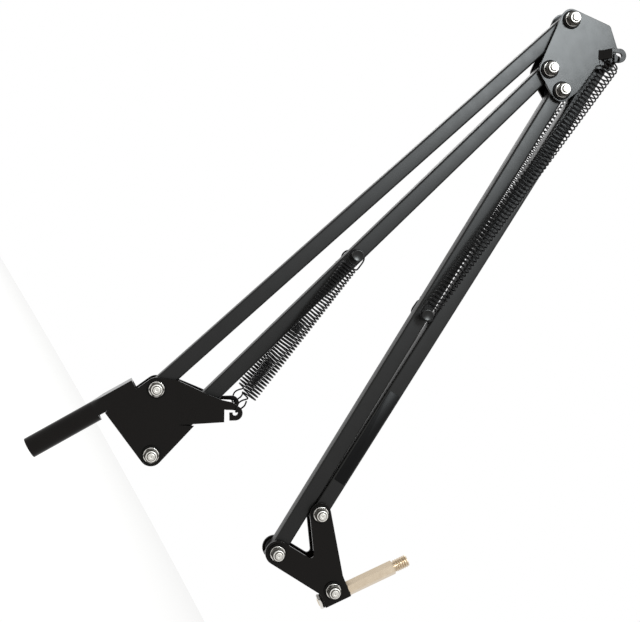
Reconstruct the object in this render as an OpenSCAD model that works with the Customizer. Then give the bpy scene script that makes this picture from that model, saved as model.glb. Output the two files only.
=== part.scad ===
// Spring-balanced microphone boom arm: two four-bar arms of square tube,
// a base bracket with a round spigot, a knee, a head and a tilting threaded stud.
// X points right, Z up along the spigot, Y away from the side with the nuts.
// The origin is on the spigot's axis, at the shoulder where the bracket begins.

/* [Arms] */
// Pivot to pivot length of the lower main tube
lower_arm_len = 352.6; // [280:0.1:420]
// Angle of the lower main tube above the X axis, as it rests
lower_rest = 102.66; // [95:0.01:106]
// Pivot to pivot length of the upper main tube
upper_arm_len = 344.7; // [280:0.1:420]
// Angle of the upper main tube below the X axis, as it rests
upper_rest = 61.08; // [58:0.01:66]

/* [Square tube] */
// Outside width of the square tubes
tube_w = 10; // [9:0.1:11]
// Wall of the square tubes
tube_wall = 1; // [0.8:0.1:1.5]
// Outside corner radius of the square tubes
tube_corner = 1; // [0.5:0.1:1.5]
// Length of tube past each pivot hole
tube_overhang = 5.5; // [4:0.1:5.8]
// Travel of a bolt along the slot of each open pivot
slot_travel = 1.3; // [1.2:0.1:2]
// Travel of a bolt across the slot of each open pivot
slot_sway = 0.9; // [0.9:0.05:0.95]

/* [Sheet metal] */
// Thickness of the bracket sheet
sheet = 1.6; // [1.2:0.1:2]
// Clear width between the two side plates of a bracket
plate_gap = 12.8; // [12.4:0.1:13.4]
// Step outwards from the base's side plates to their spring ears
ear_step = 3.6; // [3:0.1:4.2]
// Step outwards from the knee's side plates to their spring ears
knee_ear_step = 7; // [6.8:0.1:7.6]

/* [Base bracket] */
// Outside diameter of the spigot
spigot_d = 12.7; // [11:0.1:14]
// Length of the spigot below its shoulder
spigot_len = 45; // [30:1:70]
// Hole for the lower main tube, X and Z
base_main = [5.6, 37.7]; // [-60:0.1:60]
// Hole for the lower link tube, X and Z
base_link = [38.9, 15.5]; // [-60:0.1:60]
// Corner radius round the main tube's hole
base_main_r = 7.1; // [7:0.1:9]
// Corner radius round the link tube's hole
base_link_r = 7; // [6.5:0.1:8]
// Top of the spine that joins the two plates
spine_top = 27.4; // [20:0.1:28]
// Height over which the round spigot opens into the flat plates
flare_h = 8; // [6:0.5:10]
// How much higher the far ear's hook sits than the near one's
far_hook_rise = 3.7; // [0:0.1:3.8]

/* [Knee bracket] */
// Hole for the lower link tube, from the lower main tube's
knee_link = [21.2, -28.2]; // [-60:0.1:60]
// Hole for the upper main tube, from the lower main tube's
knee_upper = [36.8, -27.5]; // [-60:0.1:60]
// Hole for the upper link tube, from the lower main tube's
knee_upper_link = [34.2, 8]; // [-60:0.1:60]
// Corner radius round the knee's bolts
knee_r = 7; // [6.5:0.1:7.4]
// Corner radius round the knee's flush rivet
knee_rivet_r = 6.4; // [6:0.1:6.8]

/* [Head bracket] */
// Hole for the upper link tube, from the upper main tube's
head_link = [-7.4, 35.1]; // [-60:0.1:60]
// Hole for the swivel block, from the upper main tube's
head_swivel = [39.2, 18.7]; // [-60:0.1:60]
// Corner radius round the upper main tube's hole
head_main_r = 7.6; // [6.5:0.1:8]
// Corner radius round the upper link tube's hole
head_link_r = 6.7; // [6.5:0.1:7.4]

/* [Bolts] */
// Diameter of the pivot bolts
bolt_d = 5; // [4:0.1:5.4]
// Radial clearance of a tube, spacer, plate or nut on its bolt
bolt_fit = 0.05; // [0.02:0.01:0.1]
// Width across flats of the nuts and bolt heads
nut_flats = 8; // [7:0.1:8.8]
// Height of a nut with its locking collar
nut_h = 5; // [4:0.1:6]
// Height of the locking collar on top of a nut's hexagon
nut_collar_h = 2.1; // [1:0.1:2.5]
// Diameter of the locking collar
nut_collar_d = 6.9; // [6.2:0.1:7]
// Height of a bolt head
bolt_head_h = 3.5; // [3:0.1:4.5]
// Length of bolt past its nut
bolt_tip = 1; // [0.7:0.1:2]
// Outside diameter of the black washers and the spacers
washer_d = 11.8; // [11:0.1:12.4]
// Thickness of the black washer on each near plate
washer_t = 1; // [0.6:0.1:1.5]
// Outside diameter of the bright washer under each nut
nut_washer_d = 9.4; // [9:0.1:10]
// Thickness of the bright washer under each nut
nut_washer_t = 1; // [0.6:0.1:1.2]
// Clearance between a turning flat face and its neighbour
side_play = 0.05; // [0.02:0.01:0.1]

/* [Springs] */
// Outside diameter of the spring coils
coil_d = 11; // [9.5:0.1:11.4]
// Diameter of the spring wire
wire_d = 1; // [0.8:0.05:1.1]
// Clearance between a coil and the tube beside it
coil_gap = 0.3; // [0.2:0.05:0.5]
// Curls of each lower spring
lower_curls = 16; // [12:1:18]
// Curls of each upper spring
upper_curls = 26; // [18:1:28]
// Distance of the lower spring pin from the lower link tube's base pivot
lower_pin_len = 175.2; // [150:0.1:190]
// Distance of the upper spring pin from the upper main tube's knee pivot
upper_pin_len = 169.6; // [150:0.1:190]
// Offset of the upper spring pin towards the upper link tube
upper_pin_off = 1.2; // [0:0.1:1.4]
// Straight wire between a lower spring's hook and its coil
lower_leg = 11.5; // [9:0.1:14]
// Straight wire between an upper spring's hook and its coil
upper_leg = 6.6; // [6.6:0.1:9]
// Diameter of the spring pins
pin_d = 5; // [4:0.1:5.4]
// Diameter of the spring pins' heads
pin_head_d = 7.6; // [7:0.1:8.4]
// Height of the spring pins' heads
pin_head_h = 1.5; // [1:0.1:2]

/* [Swivel and stud] */
// Height of the swivel block along the stud
block_h = 17.8; // [16:0.1:19]
// Width of the swivel block across the stud
block_w = 14.65; // [14.4:0.05:15.6]
// Distance from the stud's axis to the swivel block's outer side
block_edge = 3.35; // [3.2:0.05:4]
// Clearance of the swivel block beside each plate
block_gap = 0.3; // [0.1:0.05:0.5]
// Distance of the stud's axis from the swivel bolt
stud_off = 5.85; // [5.8:0.05:6.2]
// Lean of the stud to the right as it rests
stud_lean = 6.2; // [0:0.1:20]
// Width across flats of the stud's hexagon
stud_flats = 8; // [7:0.1:9]
// Length of the stud's hexagon
stud_hex = 32.4; // [20:0.1:50]
// Outside diameter of the stud's thread
stud_thread_d = 8; // [7:0.1:8]
// Length of the stud's thread
stud_thread = 10; // [6:0.1:14]
// Diameter of the stud's tail
stud_tail_d = 5; // [4:0.1:5.2]
// Thickness of the spring washer on the tail
tail_washer_t = 0.8; // [0.6:0.1:1.2]
// Outside diameter of the spring washer on the tail
tail_washer_d = 9; // [8:0.1:10]
// Height of the thin nut on the tail
tail_nut_h = 1.8; // [1.2:0.1:2.4]
// Width across flats of the thin nut on the tail
tail_nut_flats = 9; // [8:0.1:10]

/* [Sticker place] */
// Length of the blank label
label_len = 66; // [40:1:80]
// Width of the blank label
label_w = 7.6; // [6:0.1:7.8]
// Thickness of the blank label
label_t = 0.15; // [0.1:0.05:0.2]
// Distance of the label's lower end from the upper link tube's head pivot
label_at = 22.5; // [18:0.5:40]

/* [Hidden] */
$fn = 48;
little = 0.01;

black = "#1d1b1a";
satin_black = "#2b2927";
spring_black = "#101010";
nickel = "#c9c6bd";
champagne = "#cbb89c";
nylon = "#dcd9cf";

// Angle and length of the line from one point to another
function bearing(p, q) = atan2(q[1] - p[1], q[0] - p[0]);
function dist(p, q) = norm(q - p);
function polar(r, a) = r * [cos(a), sin(a)];

// Pivot places at rest: base, knee and head
main_base = base_main;
link_base = base_link;
main_knee = main_base + polar(lower_arm_len, lower_rest);
link_knee = main_knee + knee_link;
main_upper = main_knee + knee_upper;
link_upper = main_knee + knee_upper_link;
main_head = main_upper + polar(upper_arm_len, -upper_rest);
link_head = main_head + head_link;
swivel_at = main_head + head_swivel;

// Link tubes close the two linkages
lower_link_angle = bearing(link_base, link_knee);
lower_link_len = dist(link_base, link_knee);
upper_link_angle = bearing(link_upper, link_head);
upper_link_len = dist(link_upper, link_head);

// Depths, measured from the middle plane
inner_face = plate_gap / 2;
outer_face = inner_face + sheet;
web_half = inner_face + sheet / 2;
ear_face = outer_face + ear_step;
knee_ear_face = outer_face + knee_ear_step;
spring_mid = tube_w / 2 + coil_gap + coil_d / 2;
knee_seat_mid = knee_ear_face - sheet / 2;
washer_face = outer_face + washer_t;
nut_washer_face = washer_face + nut_washer_t;
nut_face = nut_washer_face + nut_h;
tip_face = nut_face + bolt_tip;
head_face = outer_face + bolt_head_h;
spacer_t = inner_face - tube_w / 2 - 2 * side_play;

bore_r = bolt_d / 2 + bolt_fit;
bore_reach = 20;
coil_r = (coil_d - wire_d) / 2;

// Spring ears: they lie at ear_angle above X, which is across their bend lines
ear_angle = 61.2;
base_ear_ramp = 13;
knee_ear_ramp = 4.6;
knee_ear_root = 9.3;
ear_reach = 60;
ear_tuck = 0.4;
ear_bend = 0.6;
hook_inner_r = 1.6;
hook_outer_r = 4.5;
hook_neck = 7.5;
hook_tip = 3.55;
base_hook = base_main + [36.1, 34.1];
far_base_hook = base_hook + polar(far_hook_rise, ear_angle + 90);
knee_hook = main_knee + [34.7, 15.2];
knee_fold = knee_hook - polar(knee_ear_root, ear_angle);

// Spring pins and the ends of the springs
lower_pin = link_base + polar(lower_pin_len, lower_link_angle);
upper_pin = main_upper + polar(upper_pin_len, -upper_rest) + polar(upper_pin_off, 90 - upper_rest);
hook_play = 0.55;
ring_play = 0.45;
seat_r = hook_inner_r - wire_d / 2 - hook_play;
lower_seat = base_hook + polar(seat_r, bearing(base_hook, lower_pin));
far_lower_seat = far_base_hook + polar(seat_r, bearing(far_base_hook, lower_pin));
upper_seat = knee_hook + polar(seat_r, bearing(knee_hook, upper_pin));
upper_spring_tilt = atan((knee_seat_mid - spring_mid) / dist(upper_seat, upper_pin));
pin_ring_back = coil_r - wire_d / 2 - pin_d / 2 - ring_play;
hook_bend = sheet / 2 + wire_d / 2 + 0.6;
pin_head_from = spring_mid + wire_d / 2 + 0.3;

// Belt: the outline round a chain of discs [x, z, r], counter-clockwise.
// r is 0 at a sharp corner and negative where the outline bends inwards.
function belt_angle(a, b) =
    atan2(b[1] - a[1], b[0] - a[0])
    - asin((b[2] - a[2]) / norm([b[0] - a[0], b[1] - a[1]]));
function belt_arc(disc, a_in, a_out) =
    let (turn = disc[2] > 0 ? ((a_out - a_in) % 360 + 360) % 360
                            : -(((a_in - a_out) % 360 + 360) % 360),
         steps = disc[2] == 0 ? 0 : max(1, ceil(abs(turn) / 12)))
    [for (i = [0:steps])
        [disc[0], disc[1]] + disc[2] * [sin(a_in + turn * i / max(steps, 1)),
                                        -cos(a_in + turn * i / max(steps, 1))]];
function belt(discs) =
    let (n = len(discs))
    [for (i = [0:n - 1])
        each belt_arc(discs[i],
                      belt_angle(discs[(i + n - 1) % n], discs[i]),
                      belt_angle(discs[i], discs[(i + 1) % n]))];
function disc(p, r) = [p[0], p[1], r];

// Puts an outline drawn in X and Z into the slice of depth between y0 and y1
module slice(y0, y1) {
    translate([0, y1, 0])
        rotate([90, 0, 0])
            linear_extrude(y1 - y0)
                children();
}

// The same slice on the near and on the far side
module both_sides(from, to) {
    slice(-to, -from) children();
    slice(from, to) children();
}

// A straight round hole or rod along Y
module rod(p, r, y0, y1) {
    translate([p[0], y1, p[1]])
        rotate([90, 0, 0])
            cylinder(r = r, h = y1 - y0);
}

// A bolt's hole right through, at p
module bore(p) {
    rod(p, bore_r, -bore_reach, bore_reach);
}

// A ring round a bolt between two depths
module ring(p, r, y0, y1) {
    difference() {
        rod(p, r, y0, y1);
        rod(p, bore_r, y0 - 1, y1 + 1);
    }
}

// A hexagon along Y between two depths
module hexagon(p, flats, y0, y1) {
    translate([p[0], y1, p[1]])
        rotate([90, 0, 0])
            cylinder(d = flats / cos(30), h = y1 - y0, $fn = 6);
}

// Turns children so that their X axis points from p at an angle above X
module along(p, angle) {
    translate([p[0], 0, p[1]])
        rotate([0, -angle, 0])
            children();
}

// Section of a square tube, centred
module tube_section(w, r) {
    h = w / 2 - r;
    polygon(belt([[-h, -h, r], [h, -h, r], [h, h, r], [-h, h, r]]));
}

// Square tube from one pivot to the other, its holes across Y.
// play is the slot's extra half length and half width at the far pivot.
module square_tube(length, play = [0, 0]) {
    slot_r = bore_r + play[1];
    slot_x = play[0] - play[1];
    difference() {
        translate([-tube_overhang, 0, 0])
            rotate([90, 0, 90])
                linear_extrude(length + 2 * tube_overhang)
                    difference() {
                        tube_section(tube_w, tube_corner);
                        square(tube_w - 2 * tube_wall, center = true);
                    }
        rod([0, 0], bore_r, -tube_w, tube_w);
        rod([length, 0], slot_r, -tube_w, tube_w);
        if (slot_x > 0) {
            rod([length - slot_x, 0], slot_r, -tube_w, tube_w);
            rod([length + slot_x, 0], slot_r, -tube_w, tube_w);
            translate([length - slot_x, -tube_w, -slot_r])
                cube([2 * slot_x, 2 * tube_w, 2 * slot_r]);
        }
    }
}

// Section of an ear across its bend lines. Its root is tucked inside the plate,
// the first bend is at 0, and from the end of the ramp on it is flat again. The bends of
// its two faces are shifted apart, so that the ramp keeps the sheet's thickness.
module ear_section(ramp, step) {
    rise = step * ear_bend / ramp;
    shift = sheet / 2 * tan(atan(step / ramp) / 2);
    polygon([[-3, inner_face + ear_tuck], [ear_bend + shift, inner_face + rise],
             [ramp + shift, inner_face + step], [ear_reach, inner_face + step],
             [ear_reach, outer_face + step], [ramp - shift, outer_face + step],
             [ear_bend - shift, outer_face + rise], [-3, outer_face - ear_tuck]]);
}

// An ear on the near side (0) or the far one (1): its outline in X and Z, bent about
// a line through p
module ear(side, p, ramp, step) {
    mirror([0, 1 - side, 0])
        intersection() {
            slice(0, outer_face + step + 1) children();
            along(p, ear_angle)
                translate([0, 0, -ear_reach])
                    linear_extrude(2 * ear_reach)
                        ear_section(ramp, step);
        }
}

// Outline of a J hook round c: a ring on a straight neck, open towards the ear, with a
// square tip under its mouth
module hook(c) {
    translate(c)
        rotate(ear_angle)
            difference() {
                union() {
                    circle(r = hook_outer_r);
                    translate([-hook_neck, 0])
                        square([hook_neck, hook_outer_r]);
                    translate([-hook_tip, -hook_outer_r])
                        square([hook_tip, hook_outer_r]);
                }
                circle(r = hook_inner_r, $fn = 32);
                polygon([[0.4, hook_inner_r - 0.05], [-1.3, 1.9], [-hook_neck - 1, 2.4],
                         [-hook_neck - 1, 0.35], [0, 0.35]]);
                translate([-hook_neck - 1, -hook_outer_r - 1])
                    square([hook_neck + 1 - hook_tip, hook_outer_r + 1.35]);
            }
}

// Base bracket: the plates' outline
relief_x = 2.8;
base_corner = base_main + [31, 8.6];
base_bend_low = base_main + [25.6, 0.6];
base_bend_high = base_main + [2.1, 13.5];
base_plate = belt([[-spigot_d / 2, flare_h - 0.5, 0],
                   [relief_x, flare_h - 0.5, 0],
                   [relief_x + 0.2, 4.3, 0],
                   disc(base_link, base_link_r),
                   disc(base_corner, 0),
                   disc(base_bend_low + polar(ear_bend, ear_angle), 0),
                   disc(base_bend_high + polar(ear_bend, ear_angle), 0),
                   disc(base_main, base_main_r),
                   [-0.4, spine_top, 0],
                   [-spigot_d / 2, spine_top, 0]]);
base_ear = [base_bend_low - polar(1, ear_angle), base_bend_low + [5.4, 11.8],
            base_main + [37.6, 25.6], base_main + [26.4, 32],
            base_main + [13.6, 22.3], base_main + [2.2, 13.9],
            base_bend_high - polar(1, ear_angle)];

// The neck widens into the ear on the side away from the hook's mouth
function base_neck(c) =
    [for (p = [[-hook_neck, 2.6], [-0.5, 2.6], [1.7, 4.1], [-1.3, 6.4], [-hook_neck, 8]])
        c + p[0] * polar(1, ear_angle) + p[1] * polar(1, ear_angle + 90)];

module spigot_arc(r) {
    intersection() {
        circle(r = r, $fn = 64);
        translate([-spigot_d, -spigot_d])
            square([spigot_d + relief_x, 2 * spigot_d]);
    }
}

// The sheet opening from the round spigot into the plates
module flare(r, half, x0) {
    hull() {
        translate([0, 0, -0.5])
            linear_extrude(little)
                spigot_arc(r);
        translate([x0, -half, flare_h])
            cube([relief_x - x0, 2 * half, little]);
    }
}

module base_bracket() {
    outer_r = spigot_d / 2;
    color(black)
        difference() {
            union() {
                translate([0, 0, -spigot_len])
                    cylinder(r = outer_r, h = spigot_len, $fn = 96);
                flare(outer_r, outer_face, -outer_r);
                translate([-outer_r, -outer_face, flare_h - 0.5])
                    cube([sheet, 2 * outer_face, spine_top - flare_h + 0.5]);
                both_sides(inner_face, outer_face)
                    polygon(base_plate);
                for (side = [0, 1])
                    let (c = side == 0 ? base_hook : far_base_hook)
                        ear(side, base_bend_low, base_ear_ramp, ear_step)
                            union() {
                                polygon(base_ear);
                                if (side == 0) polygon(base_neck(c));
                                hook(c);
                            }
            }
            translate([0, 0, -spigot_len - 1])
                cylinder(r = outer_r - sheet, h = spigot_len + 1.5, $fn = 96);
            flare(outer_r - sheet, inner_face, -outer_r + sheet);
            bore(base_main);
            bore(base_link);
        }
}

// Knee bracket
knee_corner_r = 3;
knee_top_left = main_knee + [16.2, 19];
knee_top_right = main_knee + [30.1, 19.7];
knee_plate = belt([disc(link_knee, knee_r),
                   disc(main_upper, knee_r),
                   disc(main_knee + [42.3, -15.2], 0),
                   disc(main_knee + [35.2, 0.2], 0),
                   disc(link_upper, knee_rivet_r),
                   disc(knee_top_right, 0),
                   disc(knee_top_left, knee_corner_r),
                   disc(main_knee, knee_r)]);
knee_edge_angle = belt_angle(disc(knee_top_right, 0), disc(knee_top_left, knee_corner_r));
knee_ear_low = -1.6;

module knee_bracket() {
    color("#3a3a39")
        difference() {
            union() {
                both_sides(inner_face, outer_face)
                    polygon(knee_plate);
                along(knee_top_right, knee_edge_angle)
                    translate([0, -web_half, 0])
                        cube([dist(knee_top_right, knee_top_left), 2 * web_half, sheet]);
                for (side = [0, 1])
                    ear(side, knee_fold, knee_ear_ramp, knee_ear_step)
                        union() {
                            translate(knee_hook)
                                rotate(ear_angle)
                                    translate([-knee_ear_root - 3, knee_ear_low])
                                        square([knee_ear_ramp + 3, hook_outer_r - knee_ear_low]);
                            hook(knee_hook);
                        }
            }
            bore(main_knee);
            bore(link_knee);
            bore(main_upper);
            knee_rivet_body(bolt_fit);
        }
}

// Head bracket
head_edge_low = main_head + [37.6, 10.8];
head_edge_right = main_head + [45.8, 10.7];
head_corner = main_head + [47.6, 25.6];
head_top = main_head + [38.2, 27.3];
head_plate = belt([disc(main_head, head_main_r),
                   disc(head_edge_low, 0),
                   disc(head_edge_right, 0.8),
                   disc(head_corner, 0.4),
                   disc(head_top, 0),
                   disc(link_head, head_link_r),
                   disc(main_head + [12.1, 17.4], -2)]);

// The web follows the long edge between the link tube and the swivel block
head_edge_angle = belt_angle(disc(head_top, 0), disc(link_head, head_link_r));
head_web_from = 6.5;
head_web_to = 13;

module head_bracket() {
    color(satin_black)
        difference() {
            union() {
                both_sides(inner_face, outer_face)
                    polygon(head_plate);
                along(head_top, head_edge_angle)
                    translate([head_web_from, -web_half, 0])
                        cube([dist(head_top, link_head) - head_web_from - head_web_to,
                              2 * web_half, sheet]);
            }
            bore(main_head);
            bore(link_head);
            bore(swivel_at);
        }
}

// A pivot bolt: head at the back, shank, domed tip past the nut in front
module bolt(p) {
    shank = bolt_d / 2;
    hexagon(p, nut_flats, outer_face, head_face);
    translate([p[0], 0, p[1]])
        rotate([90, 0, 0])
            rotate_extrude()
                polygon([[0, -outer_face - 1], [shank, -outer_face - 1],
                         [shank, tip_face - 0.6], [shank - 0.25, tip_face - 0.3],
                         [shank - 0.8, tip_face - 0.1], [shank - 1.4, tip_face],
                         [0, tip_face]]);
}

// A locking nut: a hexagon with its corners turned off, and a round collar on top
module bolt_nut(p) {
    difference() {
        union() {
            intersection() {
                hexagon(p, nut_flats, -nut_face, 0);
                translate([p[0], -nut_washer_face, p[1]])
                    rotate([90, 0, 0])
                        rotate_extrude()
                            polygon([[0, 0], [nut_flats / 2 + 0.8, 0],
                                     [nut_flats / 2 + 0.8, nut_h - nut_collar_h - 0.5],
                                     [nut_flats / 2 - 0.1, nut_h - nut_collar_h],
                                     [0, nut_h - nut_collar_h]]);
            }
            rod(p, nut_collar_d / 2, -nut_face, nut_collar_h - nut_face + 0.2);
        }
        rod(p, bore_r, -tip_face, 0);
    }
}

base_holes = [main_base, link_base];
knee_holes = [main_knee, link_knee, main_upper];
head_holes = [main_head, link_head, swivel_at];

module bolts(holes) {
    color(black)
        for (p = holes) bolt(p);
}

module washers(holes) {
    color(black)
        for (p = holes) ring(p, washer_d / 2, -washer_face, -outer_face);
}

module nut_washers(holes) {
    color(nickel)
        for (p = holes) ring(p, nut_washer_d / 2, -nut_washer_face, -washer_face);
}

module nuts(holes) {
    color(nickel)
        for (p = holes) bolt_nut(p);
}

// Nylon spacers between a tube and the plates on both sides of it
module spacers(holes) {
    spacer_from = tube_w / 2 + side_play;
    color(nylon)
        for (p = holes) {
            ring(p, washer_d / 2, spacer_from, spacer_from + spacer_t);
            ring(p, washer_d / 2, -spacer_from - spacer_t, -spacer_from);
        }
}

// Rivet of the upper link tube's knee pivot, its heads flush with the plates
rivet_head_r = bolt_d / 2 + 1.4;
module knee_rivet_body(extra) {
    translate([link_upper[0], 0, link_upper[1]])
        rotate([90, 0, 0])
            rotate_extrude()
                polygon([[0, -outer_face], [rivet_head_r + extra, -outer_face],
                         [bolt_d / 2 + extra, -outer_face + 1.3],
                         [bolt_d / 2 + extra, outer_face - 1.3],
                         [rivet_head_r + extra, outer_face], [0, outer_face]]);
}

module knee_rivet() {
    color(satin_black) knee_rivet_body(0);
}

// A tube of six-sided section swept along points
function unit(v) = v / norm(v);
function tangent(p, i) =
    let (a = i == 0 ? p[0] : p[i - 1], b = i == len(p) - 1 ? p[i] : p[i + 1]) unit(b - a);
function carry(v, t) = unit(v - (v * t) * t);
function frames(p, i, v) =
    i == len(p) ? [] :
    let (t = tangent(p, i), n = carry(v, t)) concat([[n, cross(t, n)]], frames(p, i + 1, n));
module sweep(p, r, start) {
    sides = 6;
    f = frames(p, 0, start);
    rings = len(p);
    points = [for (i = [0:rings - 1], j = [0:sides - 1])
        p[i] + r * (cos(360 * j / sides) * f[i][0] + sin(360 * j / sides) * f[i][1])];
    walls = [for (i = [0:rings - 2], j = [0:sides - 1])
        let (a = i * sides + j, b = i * sides + (j + 1) % sides)
        each [[a, a + sides, b + sides], [a, b + sides, b]]];
    first = [for (j = [1:sides - 2]) [0, j, j + 1]];
    last = [for (j = [1:sides - 2])
        [(rings - 1) * sides, (rings - 1) * sides + j + 1, (rings - 1) * sides + j]];
    polyhedron(points = points, faces = concat(walls, first, last), convexity = 10);
}

// Path of one spring along X: a hook round the ear at 0, the coil,
// and a ring round the pin at the far end. Y is the way out from the tube.
function spring_path(length, leg, curls) =
    let (ring_x = length - pin_ring_back,
         coil_to = ring_x - coil_r - 1.6,
         turns = curls - 0.25,
         steps = curls * 8 - 2,
         pitch = (coil_to - leg) / turns)
    concat(
        [[hook_bend + 3, -hook_bend, 0], [hook_bend + 1, -hook_bend, 0]],
        [for (a = [-90:45:90]) hook_bend * [1 - cos(a), sin(a), 0]],
        [[leg - 3.2, hook_bend, 0], [leg - 1.6, hook_bend + 0.7, 0]],
        [for (i = [1:steps])
            let (a = 45 * i, r = min(coil_r, hook_bend + 1.4 + (coil_r - hook_bend - 1.4) * i / 6))
            [leg + pitch * i / 8, r * cos(a), r * sin(a)]],
        [[coil_to + 1.5, 0.4, -coil_r], [ring_x - 2, 0, -coil_r]],
        [for (a = [-90:40:150])
            [ring_x + coil_r * cos(a), 0, coil_r * sin(a)]]);

// Least gap between stretches of one wire that aren't neighbours on it
function least_gap(p, skip) =
    min([for (i = [0:len(p) - 1 - skip], j = [i + skip:min(len(p) - 1, i + 14)])
        norm(p[i] - p[j])]) - wire_d;
lower_path = spring_path(dist(lower_seat, lower_pin), lower_leg, lower_curls);
far_lower_path = spring_path(dist(far_lower_seat, lower_pin), lower_leg, lower_curls);
upper_path = spring_path(dist(upper_seat, upper_pin) / cos(upper_spring_tilt), upper_leg,
                         upper_curls);
echo(lower_spring_gap = least_gap(lower_path, 5),
     far_lower_spring_gap = least_gap(far_lower_path, 5),
     upper_spring_gap = least_gap(upper_path, 5));

// A spring from its hook's seat, seat_mid deep, to its pin; side is -1 near, 1 far
module spring(path, seat, seat_mid, tilt, pin, side) {
    color(spring_black)
        along(seat, bearing(seat, pin))
            mirror([0, side < 0 ? 1 : 0, 0])
                translate([0, seat_mid, 0])
                    rotate([0, 0, -tilt])
                        sweep(path, wire_d / 2, [0, 0, 1]);
}

// A spring pin: shank through the tube and a round head outside each spring
module spring_pin(p) {
    color("#4a4a48")
        translate([p[0], 0, p[1]])
            rotate([90, 0, 0])
                rotate_extrude()
                    polygon(concat(
                        [[0, -pin_head_from - pin_head_h]],
                        pin_profile(-1),
                        [for (i = [3:-1:0]) pin_profile(1)[i]],
                        [[0, pin_head_from + pin_head_h]]));
}
function pin_profile(s) =
    [[pin_head_d / 2 - 1, s * (pin_head_from + pin_head_h)],
     [pin_head_d / 2, s * (pin_head_from + pin_head_h - 0.7)],
     [pin_head_d / 2, s * pin_head_from],
     [pin_d / 2, s * pin_head_from]];

module tube_with_pin_hole(angle, p, pin, length, play) {
    color(satin_black)
        difference() {
            along(p, angle) square_tube(length, play);
            rod(pin, pin_d / 2 + bolt_fit, -tube_w, tube_w);
        }
}

module lower_main_tube() {
    color(satin_black) along(main_base, lower_rest) square_tube(lower_arm_len);
}

module lower_link_tube() {
    tube_with_pin_hole(lower_link_angle, link_base, lower_pin, lower_link_len,
                       [slot_travel, slot_sway]);
}

module upper_main_tube() {
    tube_with_pin_hole(-upper_rest, main_upper, upper_pin, upper_arm_len, [0, 0]);
}

module upper_link_tube() {
    color(satin_black)
        along(link_upper, upper_link_angle) square_tube(upper_link_len, [slot_travel, slot_sway]);
}

module label() {
    color(black)
        along(link_upper, upper_link_angle)
            translate([upper_link_len - label_at - label_len, -tube_w / 2 - label_t, -label_w / 2])
                cube([label_len, label_t, label_w]);
}

// Swivel block and stud, drawn with Z along the stud and the swivel bolt at the origin
block_left = stud_off - block_w + block_edge;
block_low = -block_h / 2 + 0.55;
block_top = block_low + block_h;

module on_swivel() {
    translate([swivel_at[0], 0, swivel_at[1]])
        rotate([0, stud_lean, 0])
            children();
}

module swivel_block() {
    half = inner_face - block_gap;
    color(black)
        on_swivel()
            difference() {
                translate([block_left, -half, block_low])
                    cube([block_w, 2 * half, block_h]);
                bore([0, 0]);
                translate([stud_off, 0, block_low - 1])
                    cylinder(r = stud_tail_d / 2 + bolt_fit, h = block_h + 2);
            }
}

tail_len = tail_washer_t + tail_nut_h + 0.4;
thread_neck = 0.5;
module threaded_stud() {
    thread_r = stud_thread_d / 2;
    color(champagne)
        on_swivel()
            translate([stud_off, 0, 0])
                union() {
                    translate([0, 0, block_low - tail_len])
                        cylinder(d = stud_tail_d, h = tail_len + block_h + stud_hex + 1);
                    translate([0, 0, block_top])
                        rotate([0, 0, 22])
                            cylinder(d = stud_flats / cos(30), h = stud_hex, $fn = 6);
                    translate([0, 0, block_top + stud_hex + thread_neck])
                        cylinder(r = thread_r, h = stud_thread - thread_neck, $fn = 64);
                }
}

module stud_washer() {
    color(black)
        on_swivel()
            translate([stud_off, 0, block_low - tail_washer_t])
                difference() {
                    cylinder(d = tail_washer_d, h = tail_washer_t);
                    translate([0, 0, -1])
                        cylinder(r = stud_tail_d / 2 + bolt_fit, h = tail_washer_t + 2);
                    translate([0, -0.3, -1])
                        cube([tail_washer_d, 0.6, tail_washer_t + 2]);
                }
}

module stud_nut() {
    color(nickel)
        on_swivel()
            translate([stud_off, 0, block_low - tail_washer_t - tail_nut_h])
                difference() {
                    cylinder(d = tail_nut_flats / cos(30), h = tail_nut_h, $fn = 6);
                    translate([0, 0, -1])
                        cylinder(r = stud_tail_d / 2 + bolt_fit, h = tail_nut_h + 2);
                }
}

base_bracket();
bolts(base_holes);  // base_bolts
washers(base_holes);  // base_washers
nut_washers(base_holes);  // base_nut_washers
nuts(base_holes);  // base_nuts
spacers(base_holes);  // base_spacers
lower_main_tube();
lower_link_tube();
spring_pin(lower_pin);  // lower_spring_pin
spring(lower_path, lower_seat, spring_mid, 0, lower_pin, -1);  // lower_spring_front
spring(far_lower_path, far_lower_seat, spring_mid, 0, lower_pin, 1);  // lower_spring_back
knee_bracket();
bolts(knee_holes);  // knee_bolts
washers(knee_holes);  // knee_washers
nut_washers(knee_holes);  // knee_nut_washers
nuts(knee_holes);  // knee_nuts
spacers(concat(knee_holes, [link_upper]));  // knee_spacers
knee_rivet();
upper_main_tube();
upper_link_tube();
spring_pin(upper_pin);  // upper_spring_pin
label();
spring(upper_path, upper_seat, knee_seat_mid, upper_spring_tilt, upper_pin, -1);  // upper_spring_front
spring(upper_path, upper_seat, knee_seat_mid, upper_spring_tilt, upper_pin, 1);  // upper_spring_back
head_bracket();
bolts(head_holes);  // head_bolts
washers(head_holes);  // head_washers
nut_washers(head_holes);  // head_nut_washers
nuts(head_holes);  // head_nuts
spacers([main_head, link_head]);  // head_spacers
swivel_block();
threaded_stud();
stud_washer();
stud_nut();
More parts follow.
